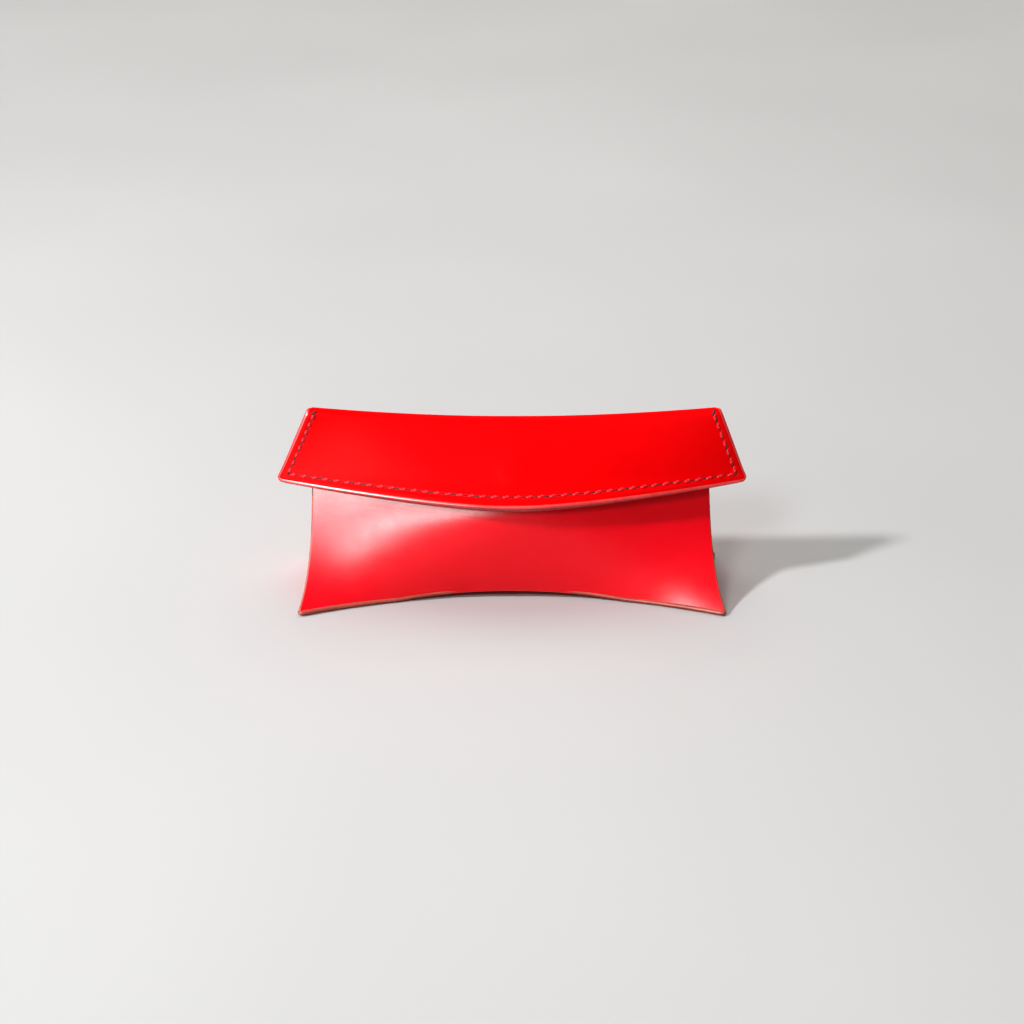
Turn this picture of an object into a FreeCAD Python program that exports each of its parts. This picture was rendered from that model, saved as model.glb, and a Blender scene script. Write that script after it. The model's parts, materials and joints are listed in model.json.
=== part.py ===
"""Flap pouch for cards: a stiff leather pouch on a waisted base, closed by a magnetic flap.

Frame: millimetres, +X to the right, +Y to the back, +Z up, origin on the floor under the middle
of the bounding box.  The front panel faces -Y.
"""
import FreeCAD, Part
import math
import os

from FreeCAD import Rotation, Vector

DIMENSIONS = {
    # leather, thread and magnets
    "leather_thickness": 1.1,
    "lining_thickness": 1.1,
    "layer_gap": 0.03,
    "thread_radius": 0.3,
    "stitch_length": 2.7,
    "magnet_radius": 4.0,
    "magnet_height": 0.9,
    "magnet_play": 0.1,
    "cover_radius": 7.5,
    "cover_floor": 0.6,
    # base
    "base_thickness": 1.1,
    "toe_half_width": 70.0,
    "toe_half_depth": 22.0,
    "front_waist": 9.7,
    "back_waist": 11.5,
    "side_waist": 67.0,
    "arch_height": 2.2,
    "arch_half_length": 38.0,
    # body
    "body_half_width": 66.2,
    "flare_height": 7.0,
    "front_lean": 32.9,
    "front_lean_height": 56.0,
    "front_lean_power": 2.1,
    "back_lean": 9.5,
    "back_lean_height": 58.0,
    "back_lean_power": 1.8,
    "side_rim_height": 48.0,
    "gusset_gap": 0.6,
    "gusset_top": 38.0,
    "gusset_margin": 2.1,
    "gusset_tuck": 3.0,
    "back_top": 55.4,
    # fold and flap
    "fold_back": 10.2,
    "fold_height": 57.9,
    "fold_radius": 2.1,
    "curl_share": 0.14,
    "curl_back_angle": 80.0,
    "fold_half_width": 67.5,
    "flap_half_width": 78.3,
    "flap_corner_front": 5.3,
    "flap_corner_height": 37.2,
    "flap_middle_front": 13.7,
    "flap_middle_height": 36.4,
    "flap_length": 33.0,
    "magnet_place": 0.59,
    # seams
    "seam_inset": 3.4,
    "flap_side_pitch": 3.0,
    "flap_front_pitch": 3.8,
    "gusset_pitch": 3.4,
    "base_pitch": 3.0,
    "base_seam_inset": 2.6,
    "base_seam_end": 6.0,
}

# How far sheets bow: power of the curve from side to middle, near the base and near the top.
BODY_BOW = 2.1
RIM_BOW = 1.2
RIM_BOW_FROM = 0.65
FLAP_BOW = 1.3
BOW_SOFTENING = 0.12
ARCH_FADE = 4
# How much of a gusset's inward fold is gone at its top.
GUSSET_OPENING = 0.7

# Middle profile of the front panel's outer face, base to rim, as (back, up) pairs: nearly upright,
# then rolled back so that it lies just under the closed flap.
FRONT_MIDDLE = [(-9.7, 3.35), (-11.3, 11.0), (-12.1, 21.0), (-11.7, 30.0), (-9.6, 35.2),
                (-4.6, 40.4), (0.4, 45.6)]

doc = FreeCAD.newDocument("card_pouch")
dims = doc.addObject("Spreadsheet::Sheet", "dims")
for row, (alias, value) in enumerate(DIMENSIONS.items(), start=1):
    dims.set(f"A{row}", alias)
    dims.set(f"B{row}", str(value))
    dims.setAlias(f"B{row}", alias)
doc.recompute()

D = {alias: float(dims.get(alias)) for alias in DIMENSIONS}
LEATHER = D["leather_thickness"]
FOLD_AXIS = Vector(0, D["fold_back"], D["fold_height"])
subparts = []


# ---- curves that the sheets share -------------------------------------------------------------

def blend(low, high, share):
    """Point or number a share of the way from low to high."""
    return low + (high - low) * share


def bow(u, power):
    """How far a sheet stands from its sides at u, -1 to 1 across: 1 in the middle, 0 at the sides."""
    reach = math.hypot(1, BOW_SOFTENING) - BOW_SOFTENING
    return 1 - ((math.hypot(u, BOW_SOFTENING) - BOW_SOFTENING) / reach) ** power


def arch(x):
    """Height of the base's underside: flat on the floor at both ends, a shallow arc between."""
    inside = max(0.0, 1 - (x / D["arch_half_length"]) ** 2)
    return D["arch_height"] * inside


def half_width(z):
    """Half width of the body at a height: it flares out to the toes."""
    flare = D["toe_half_width"] - D["body_half_width"]
    return D["body_half_width"] + flare * math.exp(-z / D["flare_height"])


def front_side_y(z):
    """Front panel's side edge: a toe well forward, closing on the back panel towards the top."""
    upright = (1 - z / D["front_lean_height"]) ** D["front_lean_power"]
    return -D["toe_half_depth"] + D["front_lean"] * (1 - upright)


def back_side_y(z):
    """Back panel's side edge: a toe well back, nearly upright above."""
    upright = (1 - z / D["back_lean_height"]) ** D["back_lean_power"]
    return D["toe_half_depth"] - D["back_lean"] * (1 - upright)


def profile_point(points, share):
    """Point a share of the way along a list of (y, z) points, rounded by a spline."""
    curve = Part.BSplineCurve()
    curve.interpolate([Vector(0, y, z) for y, z in points])
    return curve.value(blend(curve.FirstParameter, curve.LastParameter, share))


def front_point(u, w):
    """Outer face of the front panel: u across, w from the base to the rim."""
    middle = profile_point(FRONT_MIDDLE, w)
    side_z = blend(D["base_thickness"] + D["layer_gap"], D["side_rim_height"], w)
    share = bow(u, blend(BODY_BOW, RIM_BOW, min(w / RIM_BOW_FROM, 1)))
    x = half_width(side_z) * u
    y = blend(front_side_y(side_z), middle.y, share)
    lift = (1 - w) ** ARCH_FADE * (arch(x) - D["arch_height"] * share)
    return Vector(x, y, blend(side_z, middle.z, share) + lift)


def back_point(u, w):
    """Outer face of the back panel: u across, w from the base to the fold."""
    side_z = blend(D["base_thickness"] + D["layer_gap"], D["back_top"], w)
    middle_y = blend(D["back_waist"], D["fold_back"] + D["fold_radius"], w)
    x = half_width(side_z) * u
    lift = (1 - w) ** ARCH_FADE * arch(x)
    return Vector(x, blend(back_side_y(side_z), middle_y, bow(u, BODY_BOW)), side_z + lift)


def flap_point(u, w):
    """Outer face of the flap: u across, w from the fold to the free edge."""
    radius, curl = D["fold_radius"], D["curl_share"]
    corner = Vector(0, D["flap_corner_front"], D["flap_corner_height"])
    nose = Vector(0, -D["flap_middle_front"], D["flap_middle_height"])
    end = blend(corner, nose, bow(u, FLAP_BOW))
    span = end - FOLD_AXIS
    # Turn from straight up, forwards, at which the curl round the fold runs out into the flap.
    leave = math.atan2(-span.z, -span.y) + math.asin(radius / span.Length)
    turn = blend(-math.radians(D["curl_back_angle"]), leave, min(w / curl, 1))
    place = FOLD_AXIS + Vector(0, -math.sin(turn), math.cos(turn)) * radius
    if w > curl:
        place = blend(place, end, (w - curl) / (1 - curl))
    place.x = u * blend(D["fold_half_width"], D["flap_half_width"], w)
    return place


def gusset_point(side):
    """Outer face of one side gusset: u from the front panel to the back panel, w upwards."""
    def point(u, w):
        z = blend(D["base_thickness"] + D["gusset_gap"], D["gusset_top"], w)
        share = (u + 1) / 2
        margin = D["gusset_margin"]
        y = blend(front_side_y(z) + margin, back_side_y(z) - margin, share)
        tuck = D["gusset_tuck"] * math.sin(math.pi * share) * (1 - GUSSET_OPENING * w)
        return Vector(side * (half_width(z) - D["gusset_gap"] - tuck), y, z)
    return point


# ---- builders ---------------------------------------------------------------------------------

CURL_ROWS = 6
SLOPE_STEP = 0.01
PATH_STEPS = 40


def normal_at(point, u, w):
    """Unit normal of a sheet at (u, w), found from small steps along it."""
    across = point(min(u + SLOPE_STEP, 1), w) - point(max(u - SLOPE_STEP, -1), w)
    along = point(u, min(w + SLOPE_STEP, 1)) - point(u, max(w - SLOPE_STEP, 0))
    return across.cross(along).normalize()


def offset_point(point, flip, distance):
    """The sheet's function moved along its own normal, which flip (1 or -1) turns outwards."""
    def moved(u, w):
        return point(u, w) + normal_at(point, u, w) * (flip * distance)
    return moved


def sheet_solid(point, flip, thickness, across=17, along=9, curl=0):
    """Closed solid of a leather sheet: its outer face, its inner face and the cut edges.

    A sheet that starts with a curl has extra rows there.
    """
    inner_point = offset_point(point, flip, -thickness)
    rows = [curl * j / CURL_ROWS for j in range(CURL_ROWS)] if curl else []
    rows += [blend(curl, 1, j / (along - 1)) for j in range(along)]
    surfaces = []
    for face_point in (point, inner_point):
        grid = [[face_point(2 * i / (across - 1) - 1, w) for w in rows] for i in range(across)]
        surface = Part.BSplineSurface()
        surface.interpolate(grid)
        surfaces.append(surface)
    outer, inner = surfaces
    faces = [outer.toShape(), inner.toShape()]
    u_low, u_high, w_low, w_high = outer.bounds()
    for value in (u_low, u_high):
        faces.append(Part.makeRuledSurface(outer.uIso(value).toShape(), inner.uIso(value).toShape()))
    for value in (w_low, w_high):
        faces.append(Part.makeRuledSurface(outer.vIso(value).toShape(), inner.vIso(value).toShape()))
    shell = Part.makeShell(faces)
    shell.sewShape()
    solid = Part.Solid(shell)
    if solid.Volume < 0:
        solid.reverse()
    return solid


def part_of_sheet(point, u_range, w_range):
    """The same sheet function, kept to a part of its width and length."""
    def portion(u, w):
        return point(blend(u_range[0], u_range[1], (u + 1) / 2), blend(w_range[0], w_range[1], w))
    return portion


def add_feature(name, shape):
    """Sub-part whose shape is a bowed sheet or a run of stitches."""
    feature = doc.addObject("Part::Feature", name)
    feature.Label = name
    feature.Shape = shape
    subparts.append(feature)
    return feature


def stitch_run(path, pitch):
    """Straight stitches along a path of points, evenly spaced, as one group of solids."""
    wire = Part.makePolygon(path)
    count = max(2, round(wire.Length / pitch))
    places = wire.discretize(Number=2 * count + 1)
    half = D["stitch_length"] / 2 * (wire.Length / count) / pitch
    stitches = []
    for index in range(1, 2 * count, 2):
        direction = (places[index + 1] - places[index - 1]).normalize()
        start = places[index] - direction * half
        stitches.append(Part.makeCylinder(D["thread_radius"], 2 * half, start, direction))
    return stitches


def disc_placement(centre, tilt):
    """Placement of a disc that lies under the flap: its axis square to the sloping leather."""
    return FreeCAD.Placement(centre, Rotation(Vector(1, 0, 0), tilt))


def origin_plane(body, role):
    """One of a body's own origin planes."""
    return next(item for item in body.Origin.OriginFeatures if item.Role == role)


# ---- base panel: an arched strip cut to an hourglass outline ----------------------------------

TRIM_ROOM = 6


def add_base_panel():
    body = doc.addObject("PartDesign::Body", "base_panel")
    body.Label = "base_panel"
    wide, deep = D["toe_half_width"], D["toe_half_depth"]
    thick, rise, reach = D["base_thickness"], D["arch_height"], D["arch_half_length"]

    section = body.newObject("Sketcher::SketchObject", "base_section")
    section.AttachmentSupport = [(origin_plane(body, "XZ_Plane"), "")]
    section.MapMode = "FlatFace"
    corners = [(-wide, 0), (-reach, 0), (reach, 0), (wide, 0),
               (wide, thick), (reach, thick), (-reach, thick), (-wide, thick)]
    spots = [Vector(x, z, 0) for x, z in corners]
    for start, end in ((0, 1), (2, 3), (3, 4), (4, 5), (6, 7), (7, 0)):
        section.addGeometry(Part.LineSegment(spots[start], spots[end]), False)
    section.addGeometry(Part.Arc(spots[1], Vector(0, rise, 0), spots[2]), False)
    section.addGeometry(Part.Arc(spots[5], Vector(0, rise + thick, 0), spots[6]), False)
    strip = body.newObject("PartDesign::Pad", "base_strip")
    strip.Profile = section
    strip.Midplane = True
    strip.setExpression("Length", "dims.toe_half_depth * 2")
    doc.recompute()

    outline = body.newObject("Sketcher::SketchObject", "base_outline")
    outline.AttachmentSupport = [(origin_plane(body, "XY_Plane"), "")]
    outline.MapMode = "FlatFace"
    toes = [Vector(-wide, -deep, 0), Vector(wide, -deep, 0), Vector(wide, deep, 0),
            Vector(-wide, deep, 0)]
    waists = [Vector(0, -D["front_waist"], 0), Vector(D["side_waist"], 0, 0),
              Vector(0, D["back_waist"], 0), Vector(-D["side_waist"], 0, 0)]
    frame = [Vector(toe.x + math.copysign(TRIM_ROOM, toe.x),
                    toe.y + math.copysign(TRIM_ROOM, toe.y), 0) for toe in toes]
    for index in range(4):
        following = (index + 1) % 4
        outline.addGeometry(Part.Arc(toes[index], waists[index], toes[following]), False)
        outline.addGeometry(Part.LineSegment(frame[index], frame[following]), False)
    trim = body.newObject("PartDesign::Pocket", "base_trim")
    trim.Profile = outline
    trim.Type = "ThroughAll"
    trim.Midplane = True
    doc.recompute()
    body.Tip = trim
    subparts.append(body)
    return body


# ---- magnets and the patch that holds the lower one -------------------------------------------

def add_magnet(name, centre, tilt):
    magnet = doc.addObject("Part::Cylinder", name)
    magnet.Label = name
    magnet.setExpression("Radius", "dims.magnet_radius")
    magnet.setExpression("Height", "dims.magnet_height")
    magnet.Placement = disc_placement(centre, tilt)
    subparts.append(magnet)
    return magnet


def add_magnet_cover(centre, tilt):
    """Leather disc with a recess for the magnet, glued inside the front panel."""
    body = doc.addObject("PartDesign::Body", "magnet_cover")
    body.Label = "magnet_cover"
    steps = (("cover_disc", "PartDesign::Pad", D["cover_radius"],
              "dims.magnet_height + dims.cover_floor"),
             ("cover_recess", "PartDesign::Pocket", D["magnet_radius"] + D["magnet_play"],
              "dims.magnet_height + dims.magnet_play"))
    for name, kind, radius, depth in steps:
        circle = body.newObject("Sketcher::SketchObject", name + "_circle")
        circle.AttachmentSupport = [(origin_plane(body, "XY_Plane"), "")]
        circle.MapMode = "FlatFace"
        circle.addGeometry(Part.Circle(Vector(0, 0, 0), Vector(0, 0, 1), radius), False)
        feature = body.newObject(kind, name)
        feature.Profile = circle
        feature.Reversed = name == "cover_disc"
        feature.setExpression("Length", depth)
        doc.recompute()
    body.Placement = disc_placement(centre, tilt)
    subparts.append(body)
    return body


# ---- assembly ---------------------------------------------------------------------------------

# Across x along points out of the front panel, but into the back panel and the flap.
FRONT_FLIP, BACK_FLIP, FLAP_FLIP = 1, -1, -1


def trimmed(shape, tool):
    """A sheet cut back where it would run into its neighbour: the largest piece left."""
    return max(shape.cut(tool).Solids, key=lambda solid: solid.Volume)


base = add_base_panel().Shape
front = trimmed(sheet_solid(front_point, FRONT_FLIP, LEATHER, 21, 15), base)
add_feature("front_panel", front)
back = trimmed(sheet_solid(back_point, BACK_FLIP, LEATHER), base)
add_feature("back_panel", back)
for name, side in (("left_gusset", -1), ("right_gusset", 1)):
    add_feature(name, sheet_solid(gusset_point(side), side, LEATHER, 9, 9))

# The flap's two layers, with room between them for its magnet.
LINING_START, LINING_REACH = 0.2, 0.985
under_outer = offset_point(flap_point, FLAP_FLIP, -LEATHER - D["layer_gap"])
lining_point = part_of_sheet(under_outer, (-LINING_REACH, LINING_REACH), (LINING_START, LINING_REACH))
place_w = blend(D["curl_share"], 1, D["magnet_place"])
magnet_centre = flap_point(0, place_w)
flap_normal = normal_at(flap_point, 0, place_w) * FLAP_FLIP
flap_tilt = math.degrees(math.atan2(-flap_normal.y, flap_normal.z))
flap_magnet_base = magnet_centre - flap_normal * (LEATHER + D["layer_gap"] + D["magnet_height"] / 2)
recess = Part.makeCylinder(D["magnet_radius"] + D["magnet_play"], D["magnet_height"] + D["magnet_play"])
recess.Placement = disc_placement(flap_magnet_base - flap_normal * (D["magnet_play"] / 2), flap_tilt)
flap_outer = sheet_solid(flap_point, FLAP_FLIP, LEATHER, 21, 9, D["curl_share"])
flap_lining = sheet_solid(lining_point, FLAP_FLIP, D["lining_thickness"], 21, 7)
add_feature("flap_outer", trimmed(flap_outer, recess))
add_feature("flap_lining", trimmed(flap_lining, recess))
add_magnet("flap_magnet", flap_magnet_base, flap_tilt)

# The second magnet sits behind the front panel, square under the first.
RIM_STEPS, COVER_GAP = 200, 0.2
nearest = min((front_point(0, step / RIM_STEPS) for step in range(RIM_STEPS // 2, RIM_STEPS)),
              key=lambda spot: (spot - magnet_centre).cross(flap_normal).Length)
panel_back = nearest - flap_normal * (LEATHER + COVER_GAP)
add_magnet("body_magnet", panel_back - flap_normal * D["magnet_height"], flap_tilt)
add_magnet_cover(panel_back, flap_tilt)

# Stitches: around the flap, along both edges of the gussets, and along the base's long edges.
THREAD_RISE = 0.1
seam_face = offset_point(flap_point, FLAP_FLIP, THREAD_RISE)
side_u = 1 - D["seam_inset"] / D["flap_half_width"]
edge_w = 1 - D["seam_inset"] / D["flap_length"]
fold_w = D["curl_share"]
steps = [step / PATH_STEPS for step in range(PATH_STEPS + 1)]
flap_runs = [
    ([seam_face(-side_u, blend(fold_w, edge_w, step)) for step in steps], D["flap_side_pitch"]),
    ([seam_face(blend(-side_u, side_u, step), edge_w) for step in steps], D["flap_front_pitch"]),
    ([seam_face(side_u, blend(fold_w, edge_w, step)) for step in steps], D["flap_side_pitch"]),
]
flap_stitches = [stitch for path, pitch in flap_runs for stitch in stitch_run(path, pitch)]
add_feature("flap_thread", Part.makeCompound(flap_stitches))

GUSSET_SEAM_U, GUSSET_SEAM_W = 0.75, (0.08, 0.85)
for name, side in (("left_side_thread", -1), ("right_side_thread", 1)):
    face = offset_point(gusset_point(side), side, THREAD_RISE)
    stitches = []
    for edge_u in (-GUSSET_SEAM_U, GUSSET_SEAM_U):
        stitches += stitch_run([face(edge_u, blend(*GUSSET_SEAM_W, step)) for step in steps],
                               D["gusset_pitch"])
    add_feature(name, Part.makeCompound(stitches))

BASE_THREAD_LIFT = 0.35
base_runs = (("front_base_thread", -1, D["front_waist"]), ("back_base_thread", 1, D["back_waist"]))
for name, side, waist in base_runs:
    run_half_width = D["toe_half_width"] - D["base_seam_end"]
    path = []
    for step in steps:
        x = blend(-run_half_width, run_half_width, step)
        edge_y = blend(waist, D["toe_half_depth"], (x / D["toe_half_width"]) ** 2)
        path.append(Vector(x, side * (edge_y - D["base_seam_inset"]), arch(x) + BASE_THREAD_LIFT))
    add_feature(name, Part.makeCompound(stitch_run(path, D["base_pitch"])))

doc.recompute()

# ---- checks and files -------------------------------------------------------------------------

for item in doc.Objects:
    if "Invalid" in item.State or "Error" in item.State:
        raise RuntimeError(f"{item.Name} failed: {item.State}")
for part in subparts:
    if part.Shape.isNull() or not part.Shape.isValid():
        raise RuntimeError(f"{part.Label} has no valid shape")

os.makedirs("parts", exist_ok=True)
for part in subparts:
    part.Shape.exportStep(f"parts/{part.Label}.step")
    print(f"{part.Label:20s} {part.Shape.Volume:10.1f} mm3  {len(part.Shape.Solids)} solids")
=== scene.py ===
"""Red leather flap pouch for cards: leather shells, burnished edges, saddle stitches and studio.

Lengths are millimetres until a mesh is made, which turns them into metres with MM.
"""
import json
import math

import bmesh
import bpy
import numpy as np
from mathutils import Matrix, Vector


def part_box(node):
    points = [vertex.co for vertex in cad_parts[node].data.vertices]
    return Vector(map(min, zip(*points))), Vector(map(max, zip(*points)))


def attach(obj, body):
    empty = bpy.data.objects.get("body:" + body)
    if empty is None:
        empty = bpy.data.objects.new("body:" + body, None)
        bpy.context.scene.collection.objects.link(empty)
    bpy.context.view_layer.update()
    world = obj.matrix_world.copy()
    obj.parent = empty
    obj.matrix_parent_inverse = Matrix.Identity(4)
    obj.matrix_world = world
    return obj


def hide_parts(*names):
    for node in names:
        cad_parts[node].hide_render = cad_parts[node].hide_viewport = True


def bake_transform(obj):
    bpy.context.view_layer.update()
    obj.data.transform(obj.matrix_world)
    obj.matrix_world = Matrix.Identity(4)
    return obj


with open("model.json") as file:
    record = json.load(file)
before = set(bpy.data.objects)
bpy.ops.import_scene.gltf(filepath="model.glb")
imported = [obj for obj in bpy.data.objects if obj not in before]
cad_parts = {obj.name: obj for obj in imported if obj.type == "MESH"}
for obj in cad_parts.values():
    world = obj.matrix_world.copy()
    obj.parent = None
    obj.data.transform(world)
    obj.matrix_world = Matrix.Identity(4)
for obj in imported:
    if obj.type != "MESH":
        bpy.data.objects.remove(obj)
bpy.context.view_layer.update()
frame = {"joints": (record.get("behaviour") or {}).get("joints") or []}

MM = 0.001

# ---- sizes, from the frame where it has them ---------------------------------------------------


def cad_high(node):
    """Highest corner of a CAD node, in millimetres."""
    return np.array(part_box(node)[1]) / MM


BASE_HIGH = cad_high("base_panel")
FLAP_HIGH = cad_high("flap_outer")

LEATHER = 1.1
FLAP_LEATHER = 1.45
LINING = 1.45
TOE_X = BASE_HIGH[0] + 0.4
TOE_Y = BASE_HIGH[1]
FRONT_TOE_Y = BASE_HIGH[1] + 2.0
FRONT_WAIST = 9.7
BACK_WAIST = 11.5
SIDE_TUCK = 3.0
BASE_THICK = 1.1
FRONT_FOOT_Z = 0.95
BASE_SET_BACK = 0.9
FLOOR_CLEARANCE = 0.03
ARCH_RISE = 2.2
ARCH_REACH = 38.0
BODY_X = 65.9
FLARE = 9.0
RIM_SHIFT = -0.6
FOLD_SHIFT = 0.7
RIM_SIDE_Z = 48.0
FRONT_LEAN = 34.9
FRONT_LEAN_Z = 56.0
FRONT_LEAN_POWER = 2.1
BACK_LEAN = 9.5
BACK_LEAN_Z = 58.0
BACK_LEAN_POWER = 1.8
BODY_BOW = 2.1
RIM_BOW = 1.2
FLAP_BOW = 1.3
SAG_BOW = 1.7
GUSSET_TOP = 46.0

AXIS_Y = frame["joints"][0]["pos_m"][1] / MM
CURL = 2.1
CURL_END_Z = 58.4
CURL_SAG = 3.2
CURL_BACK_TURN = math.radians(80)
CURL_SHARE = 0.14
FOLD_X = 67.1
FLAP_X = FLAP_HIGH[0] - 0.5
EDGE_TURN = 1.2
EDGE_DROP = 0.75
CORNER = (5.3, 37.2)
NOSE = (-13.7, 36.4)

STITCH_PITCH_FRONT = 3.8
STITCH_PITCH_SIDE = 3.0
SEAM_INSET_FRONT = 2.9
SEAM_INSET_SIDE = 2.4
MAGNET_W = 0.655
MAGNET_R = 4.0
COVER_R = 7.5


# ---- surfaces: functions of u, -1 to 1 across, and w, 0 to 1 along, giving x, y, z ---------------

def mix(low, high, share):
    return low + (high - low) * share


def smooth(low, high, value):
    """0 below low, 1 above high, smooth between."""
    share = np.clip((value - low) / (high - low), 0, 1)
    return share * share * (3 - 2 * share)


def bow(u, power, soften=0.12):
    """How far a sheet stands from its sides: 1 in the middle, 0 at u = -1 and 1."""
    reach = math.hypot(1, soften) - soften
    return 1 - ((np.hypot(u, soften) - soften) / reach) ** power


def arch(x):
    return ARCH_RISE * np.clip(1 - (x / ARCH_REACH) ** 2, 0, None) ** 1.15


def half_width(z):
    return BODY_X + (TOE_X - BODY_X) * np.exp(-z / FLARE)


def front_side_y(z):
    return -FRONT_TOE_Y + FRONT_LEAN * (1 - np.clip(1 - z / FRONT_LEAN_Z, 0, 1) ** FRONT_LEAN_POWER)


def back_side_y(z):
    return TOE_Y - BACK_LEAN * (1 - np.clip(1 - z / BACK_LEAN_Z, 0, 1) ** BACK_LEAN_POWER)


def stack(x, y, z):
    return np.stack(np.broadcast_arrays(x, y, z), axis=-1).astype(float)


def smooth_curve(knots, share):
    """Catmull-Rom curve through (y, z) knots, at shares 0 to 1."""
    points = np.array([knots[0]] + knots + [knots[-1]], float)
    points[0] = 2 * points[1] - points[2]
    points[-1] = 2 * points[-2] - points[-3]
    place = np.clip(share, 0, 1) * (len(knots) - 1)
    index = np.minimum(place.astype(int), len(knots) - 2)
    t = (place - index)[..., None]
    a, b, c, d = (points[index + k] for k in range(4))
    return 0.5 * (2 * b + (c - a) * t + (2 * a - 5 * b + 4 * c - d) * t ** 2
                  + (3 * b - a - 3 * c + d) * t ** 3)


FRONT_MIDDLE = [(-9.7, 2.7), (-11.3, 10.5), (-12.1, 20.5), (-11.7, 29.5), (-9.6, 34.5),
                (-4.8, 39.3), (0.2, 43.9)]


def front_face(u, w):
    middle = smooth_curve(FRONT_MIDDLE, w)
    side_z = mix(FRONT_FOOT_Z, RIM_SIDE_Z, w)
    share = bow(u, mix(BODY_BOW, RIM_BOW, smooth(0, 0.65, w)), 0.09)
    x = half_width(side_z) * u
    y = mix(front_side_y(side_z), middle[..., 0], share)
    lift = (1 - w) ** 4 * (arch(x) - ARCH_RISE * share)
    return stack(x + RIM_SHIFT * w, y, mix(side_z, middle[..., 1], share) + lift)


def fold_centre_z(u):
    return CURL_END_Z - CURL_SAG * bow(u, SAG_BOW)


def back_face(u, w):
    top = fold_centre_z(u) + CURL * math.cos(CURL_BACK_TURN)
    top_y = AXIS_Y + CURL * math.sin(CURL_BACK_TURN)
    z = mix(BASE_THICK, top, w)
    lift = (1 - w) ** 4 * arch(half_width(z) * u)
    side_y = back_side_y(z) + (top_y - back_side_y(top)) * w ** 3
    middle_y = mix(BACK_WAIST, top_y, w) + 1.2 * np.sin(math.pi * w)
    width = mix(half_width(z), FOLD_X, smooth(0.6, 1.0, w))
    return stack(width * u, mix(side_y, middle_y, bow(u, BODY_BOW)), z + lift)


def flap_face(u, w):
    centre_z = fold_centre_z(u)
    share = bow(u, FLAP_BOW, 0.1)
    end_y = mix(CORNER[0], NOSE[0], share)
    end_z = mix(CORNER[1], NOSE[1], share)
    span_y, span_z = end_y - AXIS_Y, end_z - centre_z
    leave = np.arctan2(-span_z, -span_y) + np.arcsin(CURL / np.hypot(span_y, span_z))
    turn = mix(-CURL_BACK_TURN, leave, np.clip(w / CURL_SHARE, 0, 1))
    y = AXIS_Y - CURL * np.sin(turn)
    z = centre_z + CURL * np.cos(turn)
    run = np.clip((w - CURL_SHARE) / (1 - CURL_SHARE), 0, 1)
    y, z = mix(y, end_y, run), mix(z, end_z, run)
    # Flat leather swells a little between the fold and the edge, away from the middle.
    swell = 0.5 * np.sin(math.pi * run) * np.sin(math.pi * np.abs(u)) ** 2
    # The free edge turns outwards a little.
    swell = swell + EDGE_TURN * np.clip((run - 0.72) / 0.28, 0, 1) ** 2
    width = mix(FOLD_X, FLAP_X, np.clip((w - 0.05) / 0.95, 0, 1))
    return stack(width * u + FOLD_SHIFT * (1 - w),
                 y - 0.67 * swell, z + 0.74 * swell - EDGE_DROP * run)


def base_face(u, w):
    """Underside of the base: u across, w from its front edge to its back edge."""
    side = TOE_X - SIDE_TUCK * (1 - (2 * w - 1) ** 2)
    x = side * u
    front = mix(-FRONT_WAIST, -FRONT_TOE_Y, u ** 2) + BASE_SET_BACK
    back = mix(BACK_WAIST, TOE_Y, u ** 2)
    edge_roll = 0.5 * (smooth(0.9, 1.0, w) + smooth(0.9, 1.0, 1 - w))
    return stack(x, mix(front, back, w), arch(x) + edge_roll + FLOOR_CLEARANCE)


def gusset_face(side):
    """Outer face of a side gusset: u from the front panel to the back panel, w upwards."""
    front_inner = offset(front_face, 1, -LEATHER)
    back_inner = offset(back_face, -1, -LEATHER)

    def face(u, w):
        z = mix(BASE_THICK + 0.1, GUSSET_TOP, w)
        edge_u = np.full_like(z, 0.985 * side)
        front = front_inner(edge_u, (z - FRONT_FOOT_Z) / (RIM_SIDE_Z - FRONT_FOOT_Z))
        back = back_inner(edge_u, (z - BASE_THICK) / (CURL_END_Z - BASE_THICK))
        share = (u + 1) / 2
        x, y, _ = np.moveaxis(mix(front, back, share[..., None]), -1, 0)
        tuck = SIDE_TUCK * np.sin(math.pi * share) * (1 - 0.8 * w)
        return stack(x - side * tuck, y, z)
    return face


# ---- mesh building -----------------------------------------------------------------------------

def normals(face, u, w, flip):
    """Unit normals of a surface at grid points."""
    step = 1e-3
    across = face(np.clip(u + step, -1, 1), w) - face(np.clip(u - step, -1, 1), w)
    along = face(u, np.clip(w + step, 0, 1)) - face(u, np.clip(w - step, 0, 1))
    normal = np.cross(across, along) * flip
    return normal / np.linalg.norm(normal, axis=-1, keepdims=True)


def offset(face, flip, distance):
    """The surface moved along its normals by a distance, or by a function of u and w."""
    def moved(u, w):
        u, w = np.broadcast_arrays(np.asarray(u, float), np.asarray(w, float))
        amount = distance(u, w)[..., None] if callable(distance) else distance
        return face(u, w) + normals(face, u, w, flip) * amount
    return moved


def portion(face, u_share, w_low, w_high):
    """The same surface, kept to part of its width and length."""
    def part(u, w):
        return face(u * u_share, mix(w_low, w_high, w))
    return part


def grid_lines(length, step, dense=(), reach=1.2, fine=0.25, ends=3.0):
    """Shares 0 to 1 along a length in mm: even steps, closer near both ends and dense places."""
    marks = set(np.round(np.arange(0, length + 1e-6, length / max(1, round(length / step))), 4))
    for start, stop in ((0, ends), (length - ends, length)):
        marks |= set(np.round(np.arange(start, stop + 1e-6, ends / 8), 4))
    for place in dense:
        marks |= set(np.round(np.arange(place - reach, place + reach, fine), 4))
    kept = []
    for mark in sorted(m for m in marks if 0 <= m <= length):
        if not kept or mark - kept[-1] > 0.1:
            kept.append(mark)
    kept[-1] = length
    return np.array(kept) / length


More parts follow.
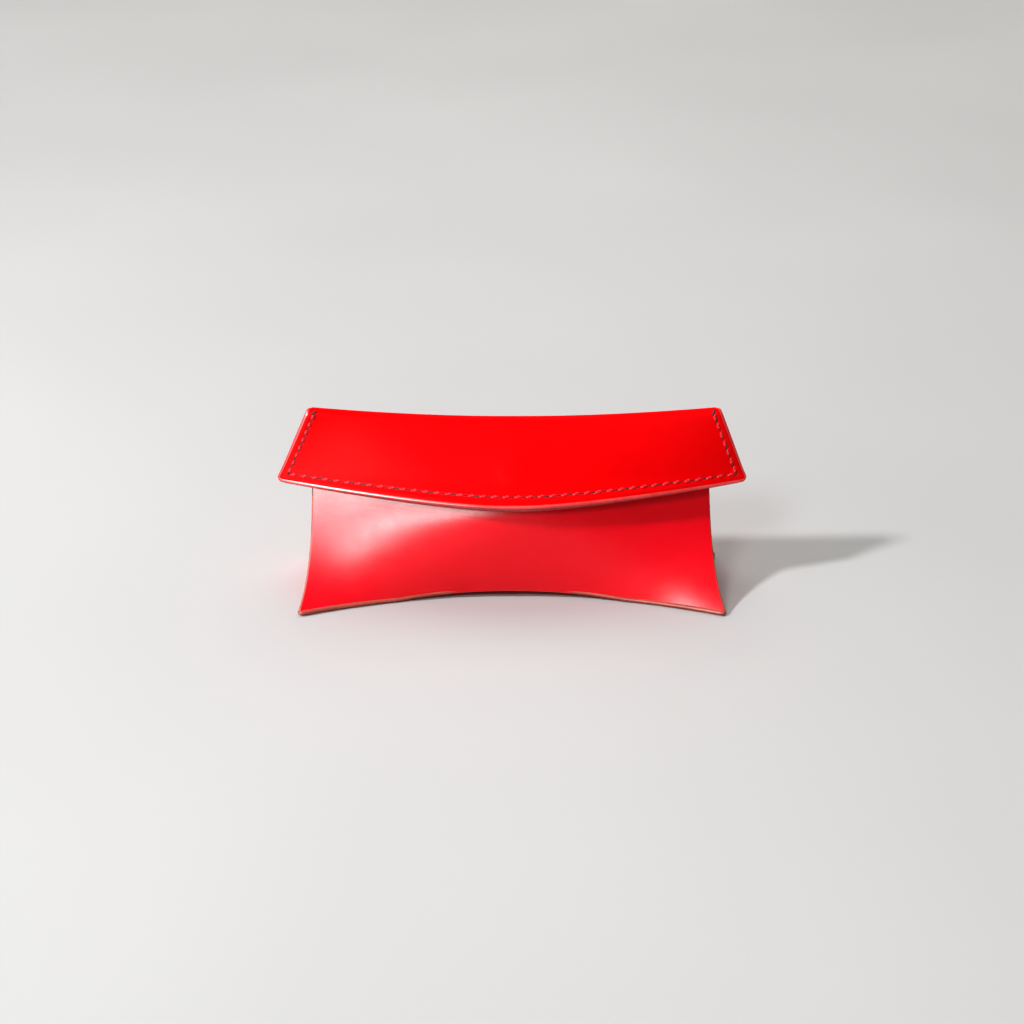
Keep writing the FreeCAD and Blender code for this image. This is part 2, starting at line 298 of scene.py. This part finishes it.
def round_corners(u, w, width, length, radius_start, radius_end):
    """Pulls a grid's corners in to arcs; the radii are in mm at w = 0 and at w = 1."""
    u, w = u.copy(), w.copy()
    for radius, at_end in ((radius_start, False), (radius_end, True)):
        if radius <= 0:
            continue
        from_side = (1 - np.abs(u)) * width / 2
        from_end = (1 - w if at_end else w) * length
        a = np.clip(1 - from_side / radius, 0, 1)
        b = np.clip(1 - from_end / radius, 0, 1)
        inside = (a > 0) & (b > 0)
        new_a = a * np.sqrt(1 - b * b / 2)
        new_b = b * np.sqrt(1 - a * a / 2)
        side = np.sign(u) * (1 - (1 - new_a) * radius * 2 / width)
        end = (1 - new_b) * radius / length
        u = np.where(inside, side, u)
        w = np.where(inside, 1 - end if at_end else end, w)
    return u, w


def new_object(name, vertices, faces, materials, face_materials=None, smooth_shade=True):
    mesh = bpy.data.meshes.new(name)
    mesh.from_pydata((np.asarray(vertices) * MM).tolist(), [], faces)
    for material in materials:
        mesh.materials.append(material)
    if face_materials is not None:
        mesh.polygons.foreach_set("material_index", np.asarray(face_materials, np.int32))
    mesh.polygons.foreach_set("use_smooth", np.full(len(mesh.polygons), smooth_shade))
    mesh.update()
    piece = bpy.data.objects.new(name, mesh)
    bpy.context.scene.collection.objects.link(piece)
    return piece


def leather_sheet(name, face, flip, size, thickness, materials, step=1.4, corners=(0, 0),
                  relief=None, dense_u=(), dense_w=(), bulge=0.5, under_relief=None):
    """Closed leather sheet: grain side, flesh side and a rounded, burnished cut edge between.

    materials are the grain side's, the cut edge's and the flesh side's.
    """
    width, length = size
    half = grid_lines(width / 2, step, dense_u)
    u_line = np.concatenate([-half[::-1], half[1:]])
    w_line = grid_lines(length, step, dense_w)
    u, w = np.meshgrid(u_line, w_line, indexing="ij")
    u, w = round_corners(u, w, width, length, *corners)
    normal = normals(face, u, w, flip)
    outer = face(u, w)
    inner = outer - normal * thickness
    if relief is not None:
        outer = outer + normal * relief(u, w)[..., None]
    if under_relief is not None:
        inner = inner + normal * under_relief(u, w)[..., None]
    rows, columns = u.shape
    vertices = np.concatenate([outer.reshape(-1, 3), inner.reshape(-1, 3)])
    index = np.arange(rows * columns).reshape(rows, columns)
    second = index + rows * columns
    quads, kinds = [], []
    a, b, c, d = index[:-1, :-1], index[1:, :-1], index[1:, 1:], index[:-1, 1:]
    for order, shift, kind in (((a, b, c, d), 0, 0), ((d, c, b, a), rows * columns, 2)):
        block = np.stack(order, -1).reshape(-1, 4) + shift
        quads.append(block)
        kinds.append(np.full(len(block), kind))

    # Perimeter in order, then a half-round band from the grain side to the flesh side.
    loop = np.concatenate([index[:, 0], index[-1, 1:], index[-2::-1, -1], index[0, -2:0:-1]])
    top, bottom = vertices[loop], vertices[loop + rows * columns]
    forward = np.roll(top, -1, axis=0) - np.roll(top, 1, axis=0)
    through = top - bottom
    outward = np.cross(forward, through)
    outward /= np.linalg.norm(outward, axis=1, keepdims=True) + 1e-12
    inside_neighbour = np.concatenate(
        [index[:, 1], index[-2, 1:], index[-2::-1, -2], index[1, -2:0:-1]])
    toward = top - vertices[inside_neighbour]
    outward *= np.sign((outward * toward).sum(axis=1, keepdims=True) + 1e-9)
    for _ in range(2):
        outward = np.roll(outward, 1, axis=0) + 2 * outward + np.roll(outward, -1, axis=0)
        outward /= np.linalg.norm(outward, axis=1, keepdims=True)
    band_rows = [loop]
    bands = 6
    count = len(vertices)
    extra = []
    for k in range(1, bands):
        angle = math.pi * k / bands
        ring = (mix(bottom, top, (1 + math.cos(angle)) / 2)
                + outward * thickness * bulge * math.sin(angle) ** 0.8)
        extra.append(ring)
        band_rows.append(np.arange(count, count + len(loop)))
        count += len(loop)
    band_rows.append(loop + rows * columns)
    vertices = np.concatenate([vertices] + extra)
    for upper, lower in zip(band_rows[:-1], band_rows[1:]):
        block = np.stack([upper, lower, np.roll(lower, -1), np.roll(upper, -1)], -1)
        quads.append(block)
        kinds.append(np.full(len(block), 1))
    faces = np.concatenate(quads)
    kinds = np.concatenate(kinds)
    piece = new_object(name, vertices, faces.tolist(), materials, kinds)
    recalculate_normals(piece)
    return piece


def recalculate_normals(piece):
    mesh = bmesh.new()
    mesh.from_mesh(piece.data)
    bmesh.ops.recalc_face_normals(mesh, faces=mesh.faces)
    mesh.to_mesh(piece.data)
    mesh.free()


class StitchMaker:
    """Collects stitches and awl slits as meshes, to become one thread piece; the slits carry the
    painted shade of the holes.
    """

    def __init__(self):
        self.vertices, self.faces, self.kinds = [], [], []
        self.count = 0

    def add(self, vertices, faces, kind):
        self.vertices.append(vertices)
        self.faces += [[index + self.count for index in face] for face in faces]
        self.kinds += [kind] * len(faces)
        self.count += len(vertices)

    def stitch(self, centre, direction, normal, length, radius, rise, sink):
        """One two-ply stitch: it comes up out of its hole, lies on the leather and goes down."""
        side = np.cross(normal, direction)
        stations, around = 15, 10
        rings = []
        for s in np.linspace(-1, 1, stations):
            end = abs(s) ** 3.2
            height = rise * (1 - end) - sink * end
            middle = centre + direction * s * length / 2 + normal * height
            thick = radius * (1 - 0.35 * abs(s) ** 6)
            for k in range(around):
                angle = 2 * math.pi * k / around
                lobe = 1 + 0.3 * math.cos(2 * (angle - 3.4 * s * length / 3))
                spoke = side * math.cos(angle) * 1.12 + normal * math.sin(angle) * 0.85
                rings.append(middle + spoke * thick * lobe)
        faces = [[row * around + k, row * around + (k + 1) % around,
                  (row + 1) * around + (k + 1) % around, (row + 1) * around + k]
                 for row in range(stations - 1) for k in range(around)]
        faces.append(list(range(around))[::-1])
        faces.append([(stations - 1) * around + k for k in range(around)])
        self.add(np.array(rings), faces, 0)

    def slit(self, centre, direction, normal, length, width):
        """An awl hole: a shallow lens pressed into the leather, its top just above the surface,
        coloured as painted shade of the hole.
        """
        side = np.cross(normal, direction)
        around = 12
        rings = []
        for level, share in ((-0.25, 0.7), (0.02, 1.0), (0.05, 0.55)):
            for k in range(around):
                angle = 2 * math.pi * k / around
                rings.append(centre + direction * length / 2 * share * math.cos(angle)
                             + side * width / 2 * share * math.sin(angle) + normal * level)
        faces = [[row * around + k, row * around + (k + 1) % around,
                  (row + 1) * around + (k + 1) % around, (row + 1) * around + k]
                 for row in range(2) for k in range(around)]
        faces.append(list(range(around))[::-1])
        faces.append([2 * around + k for k in range(around)])
        self.add(np.array(rings), faces, 1)

    def seam(self, path, normal_path, pitch, radius=0.42, slant=14.0, slits=True, rise=0.12,
             sink=0.35, fill=0.72):
        """Even saddle stitches along a dense path; each leans over by slant degrees."""
        steps = np.linalg.norm(np.diff(path, axis=0), axis=1)
        travel = np.concatenate([[0], np.cumsum(steps)])
        count = max(1, round(travel[-1] / pitch))
        pitch = travel[-1] / count

        def at(distance):
            distance = np.clip(distance, 0, travel[-1])
            return np.array([np.interp(distance, travel, path[:, axis]) for axis in range(3)])

        def normal_at(distance):
            normal = np.array([np.interp(distance, travel, normal_path[:, axis])
                               for axis in range(3)])
            return normal / np.linalg.norm(normal)

        lean, slit_lean = math.radians(slant), math.radians(2.2 * slant)
        for stitch in range(count):
            middle = (stitch + 0.5) * pitch
            normal = normal_at(middle)
            along = at(middle + pitch / 2) - at(middle - pitch / 2)
            along -= normal * along.dot(normal)
            along /= np.linalg.norm(along)
            side = np.cross(normal, along)
            direction = along * math.cos(lean) + side * math.sin(lean)
            self.stitch(at(middle), direction, normal, pitch * fill, radius, rise, sink)
        for hole_shade in range(count + 1 if slits else 0):
            place = hole_shade * pitch
            normal = normal_at(min(place, travel[-1]))
            along = at(place + 0.2) - at(place - 0.2)
            along -= normal * along.dot(normal)
            along /= np.linalg.norm(along)
            side = np.cross(normal, along)
            direction = along * math.cos(slit_lean) + side * math.sin(slit_lean)
            self.slit(at(place), direction, normal, 2.3, 0.72)

    def piece(self, name, materials):
        return new_object(name, np.concatenate(self.vertices), self.faces, materials, self.kinds)


def disc(name, centre, normal, radius, thickness, material, bevel=0.2):
    """Flat disc with rounded rims, its axis along normal."""
    across = np.cross(normal, (1.0, 0.0, 0.0))
    across /= np.linalg.norm(across)
    other = np.cross(normal, across)
    half = thickness / 2
    profile = [(radius - bevel, -half), (radius - 0.3 * bevel, -half + 0.3 * bevel),
               (radius, -half + bevel), (radius, half - bevel),
               (radius - 0.3 * bevel, half - 0.3 * bevel), (radius - bevel, half)]
    around = 48
    vertices = [centre + (across * math.cos(2 * math.pi * k / around)
                          + other * math.sin(2 * math.pi * k / around)) * r + normal * h
                for r, h in profile for k in range(around)]
    faces = [[row * around + k, row * around + (k + 1) % around,
              (row + 1) * around + (k + 1) % around, (row + 1) * around + k]
             for row in range(len(profile) - 1) for k in range(around)]
    faces.append(list(range(around))[::-1])
    faces.append([(len(profile) - 1) * around + k for k in range(around)])
    piece = new_object(name, vertices, faces, [material])
    recalculate_normals(piece)
    return piece


# ---- materials ---------------------------------------------------------------------------------

class Nodes:
    """A material's node tree with short ways to add and join nodes."""

    def __init__(self, name):
        self.material = bpy.data.materials.new(name)
        self.material.use_nodes = True
        self.tree = self.material.node_tree
        self.shader = self.tree.nodes["Principled BSDF"]

    def add(self, kind, **settings):
        node = self.tree.nodes.new(kind)
        for key, value in settings.items():
            if key in node.inputs:
                node.inputs[key].default_value = value
            else:
                setattr(node, key, value)
        return node

    def join(self, source, output, target, entry):
        self.tree.links.new(source.outputs[output], target.inputs[entry])

    def coordinates(self):
        return self.add("ShaderNodeTexCoord")

    def noise(self, coordinates, scale, detail=3.0, roughness=0.5):
        node = self.add("ShaderNodeTexNoise", Scale=scale, Detail=detail, Roughness=roughness)
        self.join(coordinates, "Object", node, "Vector")
        return node

    def ramp(self, source, output, stops):
        node = self.add("ShaderNodeValToRGB")
        while len(node.color_ramp.elements) < len(stops):
            node.color_ramp.elements.new(0.5)
        for element, (place, colour) in zip(node.color_ramp.elements, stops):
            element.position = place
            element.color = (*colour, 1)
        self.join(source, output, node, "Fac")
        return node

    def bump(self, source, output, distance, strength=1.0, after=None):
        node = self.add("ShaderNodeBump", Strength=strength, Distance=distance)
        self.join(source, output, node, "Height")
        if after is not None:
            self.join(after, "Normal", node, "Normal")
        return node


def set_shader(shader, **values):
    for key, value in values.items():
        shader.inputs[key.replace("_", " ")].default_value = value


def grain_leather(name, dark, light, roughness, specular):
    """Smooth dyed leather: fine pores, faint creases, slow changes of tone."""
    nodes = Nodes(name)
    place = nodes.coordinates()
    cloud = nodes.noise(place, 38.0, 4.0, 0.55)
    tone = nodes.ramp(cloud, "Fac", [(0.25, dark), (0.75, light)])
    nodes.join(tone, "Color", nodes.shader, "Base Color")
    pores = nodes.add("ShaderNodeTexVoronoi", Scale=2400.0, feature="SMOOTH_F1")
    nodes.join(place, "Object", pores, "Vector")
    fine = nodes.noise(place, 6000.0, 2.0, 0.6)
    soft = nodes.noise(place, 160.0, 3.0, 0.5)
    first = nodes.bump(pores, "Distance", 0.00006, 0.2)
    second = nodes.bump(fine, "Fac", 0.00004, 0.8, first)
    third = nodes.bump(soft, "Fac", 0.00025, 0.07, second)
    nodes.join(third, "Normal", nodes.shader, "Normal")
    gloss = nodes.add("ShaderNodeMapRange")
    gloss.inputs["To Min"].default_value = roughness - 0.05
    gloss.inputs["To Max"].default_value = roughness + 0.07
    nodes.join(soft, "Fac", gloss, "Value")
    nodes.join(gloss, "Result", nodes.shader, "Roughness")
    set_shader(nodes.shader, Specular_IOR_Level=specular, Sheen_Weight=0.02, Sheen_Roughness=0.4)
    nodes.shader.inputs["Sheen Tint"].default_value = (1.0, 0.2, 0.2, 1)
    return nodes.material


def burnished_edge(name, dark, light, roughness, coat=0.15):
    """Waxed cut edge: fibres run along it as fine streaks."""
    nodes = Nodes(name)
    place = nodes.coordinates()
    streak = nodes.noise(place, 900.0, 4.0, 0.6)
    slow = nodes.noise(place, 90.0, 3.0, 0.5)
    both = nodes.add("ShaderNodeMath", operation="MULTIPLY_ADD")
    both.inputs[1].default_value = 0.45
    nodes.join(streak, "Fac", both, 0)
    nodes.join(slow, "Fac", both, 2)
    tone = nodes.ramp(both, "Value", [(0.45, dark), (0.95, light)])
    nodes.join(tone, "Color", nodes.shader, "Base Color")
    bump = nodes.bump(streak, "Fac", 0.00008, 0.5)
    nodes.join(bump, "Normal", nodes.shader, "Normal")
    set_shader(nodes.shader, Roughness=roughness, Coat_Weight=coat, Coat_Roughness=0.3)
    return nodes.material


def flesh_leather(name, dark, light):
    """Inner side of the leather: matt, with short fibres."""
    nodes = Nodes(name)
    place = nodes.coordinates()
    fibre = nodes.noise(place, 1100.0, 5.0, 0.65)
    tone = nodes.ramp(fibre, "Fac", [(0.3, dark), (0.7, light)])
    nodes.join(tone, "Color", nodes.shader, "Base Color")
    bump = nodes.bump(fibre, "Fac", 0.00025, 0.6)
    nodes.join(bump, "Normal", nodes.shader, "Normal")
    set_shader(nodes.shader, Roughness=0.85, Sheen_Weight=0.35, Sheen_Roughness=0.5)
    return nodes.material


def thread_material(name, dark, light):
    """Waxed twisted thread."""
    nodes = Nodes(name)
    place = nodes.coordinates()
    strand = nodes.noise(place, 2600.0, 2.0, 0.5)
    tone = nodes.ramp(strand, "Fac", [(0.3, dark), (0.7, light)])
    nodes.join(tone, "Color", nodes.shader, "Base Color")
    bump = nodes.bump(strand, "Fac", 0.0001, 0.5)
    nodes.join(bump, "Normal", nodes.shader, "Normal")
    set_shader(nodes.shader, Roughness=0.5, Specular_IOR_Level=0.2, Sheen_Weight=0.05)
    return nodes.material


# Near-black colour with a faint speckle: painted shade inside the awl holes.
def painted_hole_shade_material(name, colour):
    nodes = Nodes(name)
    place = nodes.coordinates()
    speck = nodes.noise(place, 2000.0, 2.0, 0.5)
    tone = nodes.ramp(speck, "Fac", [(0.3, tuple(c * 0.6 for c in colour)), (0.7, colour)])
    nodes.join(tone, "Color", nodes.shader, "Base Color")
    set_shader(nodes.shader, Roughness=0.8)
    return nodes.material


def plated_steel(name):
    nodes = Nodes(name)
    place = nodes.coordinates()
    fine = nodes.noise(place, 700.0, 4.0, 0.6)
    tone = nodes.ramp(fine, "Fac", [(0.3, (0.5, 0.5, 0.52)), (0.7, (0.66, 0.66, 0.68))])
    nodes.join(tone, "Color", nodes.shader, "Base Color")
    bump = nodes.bump(fine, "Fac", 0.00003, 0.4)
    nodes.join(bump, "Normal", nodes.shader, "Normal")
    set_shader(nodes.shader, Metallic=1.0, Roughness=0.3)
    return nodes.material


red_flap = grain_leather("red_grain_flap", (0.84, 0.0, 0.0015), (0.95, 0.0, 0.0025), 0.5, 0.03)
red = grain_leather("red_grain_body", (0.92, 0.0, 0.010), (1.0, 0.0, 0.016), 0.35, 0.34)
edge_light = burnished_edge("edge_flap", (0.74, 0.03, 0.03), (0.95, 0.10, 0.10), 0.35, 0.1)
edge_dark = burnished_edge("edge_lining", (0.30, 0.022, 0.02), (0.55, 0.07, 0.06), 0.45)
edge_body = burnished_edge("edge_body", (0.34, 0.045, 0.025), (0.60, 0.11, 0.06), 0.5)
flesh = flesh_leather("flesh_side", (0.30, 0.03, 0.025), (0.46, 0.07, 0.055))
thread = thread_material("waxed_thread", (0.62, 0.004, 0.015), (0.94, 0.045, 0.06))
# Awl holes: near-black painted shade of the holes, put on the slit lenses.
hole_shade = painted_hole_shade_material("awl_hole_painted_shade", (0.09, 0.001, 0.003))
steel = plated_steel("plated_steel")


# ---- pieces ------------------------------------------------------------------------------------

def finish_piece(piece, node, body=None, blended=False):
    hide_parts(node)
    if blended:
        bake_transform(piece)
    else:
        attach(piece, body)


FLAP_LENGTH = 33.0
FLAP_SIZE = (2 * FLAP_X, FLAP_LENGTH)
SIDE_U = 1 - SEAM_INSET_SIDE / FLAP_X
EDGE_W = 1 - SEAM_INSET_FRONT / FLAP_LENGTH
SEAM_START_W = CURL_SHARE - 0.02
# Points along a seam's path: the flap's sides, the long seams and the gussets.
SIDE_POINTS, LONG_POINTS, GUSSET_POINTS = 80, 400, 120


def flap_relief(u, w):
    """Magnet bump, slow waves, the creased seam line and the pull of the fold."""
    x = u * mix(FOLD_X, FLAP_X, w)
    down = (w - MAGNET_W) * FLAP_LENGTH
    from_magnet = np.hypot(x, down)
    bump = 0.42 * np.exp(-(from_magnet / 5.0) ** 4) + 0.25 * np.exp(-(from_magnet / 9.0) ** 2)
    waves = 0.16 * np.sin(x / 9.5 + 0.6) * np.sin(math.pi * np.clip((w - 0.15) / 0.8, 0, 1))
    ripple = np.sin(x / 5.1 + w * 4.0) * np.exp(-(x / 45.0) ** 2)
    waves += 0.10 * ripple * smooth(0.12, 0.3, w) * (1 - w)
    front = (w - EDGE_W) * FLAP_LENGTH
    sides = (np.abs(u) - SIDE_U) * FLAP_X
    inside_sides = smooth(-0.6, 0.2, -sides)
    inside_front = smooth(-0.6, 0.2, -front) * smooth(0.0, 0.05, w - CURL_SHARE)
    groove = np.exp(-(front / 0.55) ** 2) * inside_sides
    groove = np.maximum(groove, np.exp(-(sides / 0.55) ** 2) * inside_front)
    to_edge = np.minimum(SEAM_INSET_FRONT - front, SEAM_INSET_SIDE - sides)
    return bump + waves - 0.13 * groove - 0.25 * (1 - smooth(0, 1.0, to_edge))


def build_flap():
    seam_w = EDGE_W * FLAP_LENGTH
    outer = leather_sheet(
        "flap_outer_leather", flap_face, -1, FLAP_SIZE, FLAP_LEATHER,
        [red_flap, edge_light, flesh],
        step=1.0, corners=(0, 1.6), relief=flap_relief, dense_u=[SIDE_U * FLAP_X],
        dense_w=[seam_w], bulge=0.6)
    finish_piece(outer, "flap_outer", blended=True)

    under = portion(offset(flap_face, -1, -FLAP_LEATHER - 0.02), 0.998, 0.19, 0.997)
    lining = leather_sheet(
        "flap_lining_leather", under, -1, (2 * FLAP_X, 27.0), LINING, [flesh, edge_dark, flesh],
        step=1.4, corners=(1.0, 2.2), bulge=0.55)
    finish_piece(lining, "flap_lining", blended=True)

    maker = StitchMaker()
    side_w = np.linspace(SEAM_START_W, EDGE_W, SIDE_POINTS)
    front_u = np.linspace(-SIDE_U, SIDE_U, LONG_POINTS)
    surface = offset(flap_face, -1, flap_relief)
    runs = [(np.full(SIDE_POINTS, -SIDE_U), side_w, STITCH_PITCH_SIDE, -16),
            (front_u, np.full(LONG_POINTS, EDGE_W), STITCH_PITCH_FRONT, 12),
            (np.full(SIDE_POINTS, SIDE_U), side_w[::-1], STITCH_PITCH_SIDE, -16)]
    for u, w, pitch, slant in runs:
        maker.seam(surface(u, w), normals(flap_face, u, w, -1), pitch, slant=slant)
        back = flap_face(u, w) - normals(flap_face, u, w, -1) * (FLAP_LEATHER + LINING + 0.02)
        maker.seam(back, -normals(flap_face, u, w, -1), pitch, slant=-slant, slits=False)
    seam = maker.piece("flap_seam_thread", [thread, hole_shade])
    finish_piece(seam, "flap_thread", blended=True)

    centre = flap_face(np.array(0.0), np.array(MAGNET_W))
    normal = normals(flap_face, np.array(0.0), np.array(MAGNET_W), -1)
    magnet = disc("flap_magnet_disc", centre - normal * FLAP_LEATHER, normal, MAGNET_R, 0.8, steel)
    finish_piece(magnet, "flap_magnet", body="flap")
    return centre, normal


def front_relief(u, w):
    """Slow hollows and swells of the front panel, fading out towards its foot."""
    x = u * BODY_X
    waves = 0.18 * np.sin(x / 13.0 + 1.1) * np.sin(math.pi * w)
    waves += 0.10 * np.sin(x / 21.0 - 0.4 + 3.0 * w)
    return waves * smooth(0, 0.12, w)


def build_body(magnet_centre, magnet_normal):
    shell = [red, edge_body, flesh]
    front = leather_sheet("front_panel_leather", front_face, 1, (2 * TOE_X, 52.0), LEATHER, shell,
                          corners=(1.6, 6.0), relief=front_relief, bulge=0.45)
    finish_piece(front, "front_panel", body="pouch")
    back = leather_sheet("back_panel_leather", back_face, -1, (2 * TOE_X, 60.0), LEATHER, shell,
                         corners=(1.6, 0), bulge=0.3)
    finish_piece(back, "back_panel", body="pouch")
    base = leather_sheet("base_panel_leather", base_face, -1, (2 * TOE_X, 44.0), BASE_THICK, shell,
                         corners=(2.0, 2.0), bulge=0.45)
    finish_piece(base, "base_panel", body="pouch")
    for side, word in ((-1, "left"), (1, "right")):
        gusset = leather_sheet(f"{word}_gusset_leather", gusset_face(side), side, (30.0, 46.0), 0.9,
                               shell, step=1.2, bulge=0.3)
        finish_piece(gusset, f"{word}_gusset", body="pouch")

    reach = np.linspace(0.5, 1.0, LONG_POINTS)
    spots = front_face(np.zeros(LONG_POINTS), reach)
    miss = np.linalg.norm(np.cross(spots - magnet_centre, magnet_normal), axis=1)
    at = spots[int(miss.argmin())]
    under = at - magnet_normal * (LEATHER + 0.45)
    magnet = disc("body_magnet_disc", under, magnet_normal, MAGNET_R, 0.8, steel)
    finish_piece(magnet, "body_magnet", body="pouch")
    cover = disc("magnet_cover_patch", under - magnet_normal * 0.35, magnet_normal,
                 COVER_R, 1.3, flesh, 0.5)
    finish_piece(cover, "magnet_cover", body="pouch")


def build_body_threads():
    for side, word in ((-1, "left"), (1, "right")):
        maker = StitchMaker()
        face = gusset_face(side)
        w = np.linspace(0.06, 0.82, GUSSET_POINTS)
        for edge_u in (-0.72, 0.72):
            u = np.full(GUSSET_POINTS, edge_u)
            maker.seam(face(u, w), normals(face, u, w, side), 3.2, slant=10)
        piece = maker.piece(f"{word}_side_seam_thread", [thread, hole_shade])
        finish_piece(piece, f"{word}_side_thread", body="pouch")
    for edge_w, word in ((0.012, "front"), (0.988, "back")):
        maker = StitchMaker()
        u, w = np.linspace(-0.95, 0.95, LONG_POINTS), np.full(LONG_POINTS, edge_w)
        path = base_face(u, w) + np.array([0, 0, -0.05])
        maker.seam(path, normals(base_face, u, w, -1), 2.4, radius=0.26, slant=0,
                   slits=False, rise=0.1)
        piece = maker.piece(f"{word}_base_seam_thread", [thread, hole_shade])
        finish_piece(piece, f"{word}_base_thread", body="pouch")


# ---- studio ------------------------------------------------------------------------------------

CAMERA_ELEVATION = math.radians(26)
CAMERA_DISTANCE = 669.8
CAMERA_AIM = np.array([0.0, -10.0, 32.0])
LENS = 71.97


def look_at(piece, target):
    direction = Vector(target) - piece.location
    piece.rotation_euler = direction.to_track_quat("-Z", "Y").to_euler()


def build_camera():
    data = bpy.data.cameras.new("camera")
    data.lens = LENS
    data.sensor_width = 36
    camera = bpy.data.objects.new("camera", data)
    bpy.context.scene.collection.objects.link(camera)
    back = np.array([0, -math.cos(CAMERA_ELEVATION), math.sin(CAMERA_ELEVATION)])
    camera.location = (CAMERA_AIM + back * CAMERA_DISTANCE) * MM
    look_at(camera, CAMERA_AIM * MM)
    bpy.context.scene.camera = camera


def area_light(name, place, target, size, energy, colour=(1, 1, 1)):
    data = bpy.data.lights.new(name, "AREA")
    data.shape = "DISK"
    data.size = size
    data.energy = energy
    data.color = colour
    light = bpy.data.objects.new(name, data)
    bpy.context.scene.collection.objects.link(light)
    light.location = place
    look_at(light, target)
    return light


def build_studio():
    world = bpy.data.worlds.new("studio")
    world.use_nodes = True
    world.node_tree.nodes["Background"].inputs["Color"].default_value = (0.92, 0.9, 0.86, 1)
    world.node_tree.nodes["Background"].inputs["Strength"].default_value = 0.14
    bpy.context.scene.world = world

    # Floor that sweeps up behind the object.
    sweep_back, sweep_radius, sweep_top = 1.1, 0.7, 2.2
    profile = [(-2.0, 0.0), (sweep_back, 0.0)]
    profile += [(sweep_back + sweep_radius * math.sin(a), sweep_radius * (1 - math.cos(a)))
                for a in np.linspace(0, math.pi / 2, 24)[1:]]
    profile.append((sweep_back + sweep_radius, sweep_top))
    vertices = [(x, y, z) for y, z in profile for x in (-2.5, 2.5)]
    faces = [(2 * k, 2 * k + 1, 2 * k + 3, 2 * k + 2) for k in range(len(profile) - 1)]
    paper = Nodes("floor_paper")
    speck = paper.noise(paper.coordinates(), 3.0, 2.0, 0.5)
    tone = paper.ramp(speck, "Fac", [(0.3, (0.50, 0.50, 0.50)), (0.7, (0.54, 0.54, 0.54))])
    paper.join(tone, "Color", paper.shader, "Base Color")
    set_shader(paper.shader, Roughness=0.7, Specular_IOR_Level=0.05)
    floor = new_object("floor", np.array(vertices) / MM, faces, [paper.material])

    area_light("key", (-0.94, -0.36, 0.95), (0, 0, 0.02), 0.14, 14.5, (0.975, 0.985, 1.0))
    window = area_light("window", (-0.85, -1.06, 0.61), (0, 0, 0.03), 0.42, 46.0)
    window.visible_diffuse = False
    top = area_light("top", (0.0, 0.9, 1.5), (0, 0.7, 0), 1.8, 18.0, (1.0, 0.975, 0.94))
    fill = area_light("front_fill", (-0.5, -1.1, 1.1), (0, 0, 0.02), 0.4, 6.5)
    top.visible_glossy = fill.visible_glossy = False
    bpy.context.scene.view_settings.view_transform = "Standard"
    bpy.context.scene.view_settings.look = "Medium High Contrast"


centre, normal = build_flap()
build_body(centre, normal)
build_body_threads()
build_camera()
build_studio()
